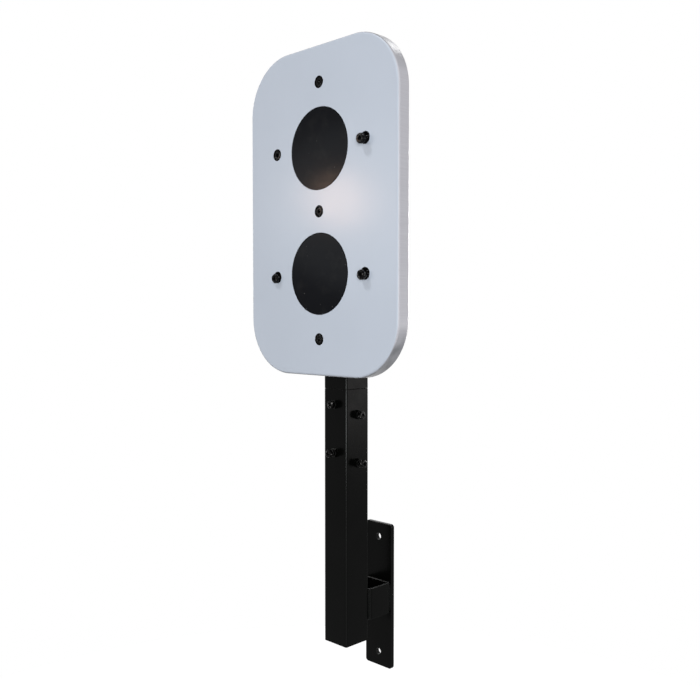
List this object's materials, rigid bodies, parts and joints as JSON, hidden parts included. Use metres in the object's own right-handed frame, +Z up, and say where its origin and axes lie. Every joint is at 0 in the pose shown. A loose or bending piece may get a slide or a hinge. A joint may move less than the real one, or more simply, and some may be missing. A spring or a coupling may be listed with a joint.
{
  "type": "signal mast",
  "caption": "Rounded pale signal board with dark discs on a square mast that plugs into a clamped square post with a wall-plate bracket.",
  "frame": {"origin": "middle of the wall plate's back face, halfway between its bolt holes", "axes": "+X to the right as seen from in front of the board, +Y into the wall, +Z up along the mast; the board faces -Y"},
  "size_m": [0.26, 0.123, 0.794],
  "materials": {
    "powder_coat": "satin black powder coat",
    "board_white": "pale bluish white, satin",
    "disc_black": "gloss black",
    "screw_black": "black oxide",
    "plastic_black": "moulded, satin"
  },
  "bodies": {
    "post": {"wall_plate": "powder_coat", "bracket_tube": "powder_coat", "post_tube": "powder_coat", "post_foot_plug": "plastic_black", "clamp_nuts": "powder_coat"},
    "mast": {"mast_tube": "powder_coat", "spigot": "powder_coat", "plug_welds": "powder_coat", "mast_cap": "plastic_black", "upper_arm": "powder_coat", "lower_arm": "powder_coat", "top_pad": "powder_coat", "middle_pad": "powder_coat", "bottom_pad": "powder_coat", "board": "board_white", "upper_disc": "disc_black", "lower_disc": "disc_black", "screw_cups": "plastic_black", "home_screws": "screw_black", "upper_right_screw": "screw_black", "lower_left_screw": "screw_black", "lower_right_screw": "screw_black"},
    "front_upper_clamp": {"front_upper_clamp_screw": "screw_black"},
    "front_lower_clamp": {"front_lower_clamp_screw": "screw_black"},
    "side_upper_clamp": {"side_upper_clamp_screw": "screw_black"},
    "side_lower_clamp": {"side_lower_clamp_screw": "screw_black"}
  },
  "joints": [
    {"name": "mast_lift", "type": "slide", "parent": "post", "child": "mast", "axis": [0, 0, 1], "range_m": [0, 0.09]},
    {"name": "front_upper_clamp_travel", "type": "slide", "parent": "post", "child": "front_upper_clamp", "axis": [0, -1, 0], "range_m": [0, 0.004]},
    {"name": "front_lower_clamp_travel", "type": "slide", "parent": "post", "child": "front_lower_clamp", "axis": [0, -1, 0], "range_m": [0, 0.004]},
    {"name": "side_upper_clamp_travel", "type": "slide", "parent": "post", "child": "side_upper_clamp", "axis": [1, 0, 0], "range_m": [0, 0.004]},
    {"name": "side_lower_clamp_travel", "type": "slide", "parent": "post", "child": "side_lower_clamp", "axis": [1, 0, 0], "range_m": [0, 0.004]}
  ]
}
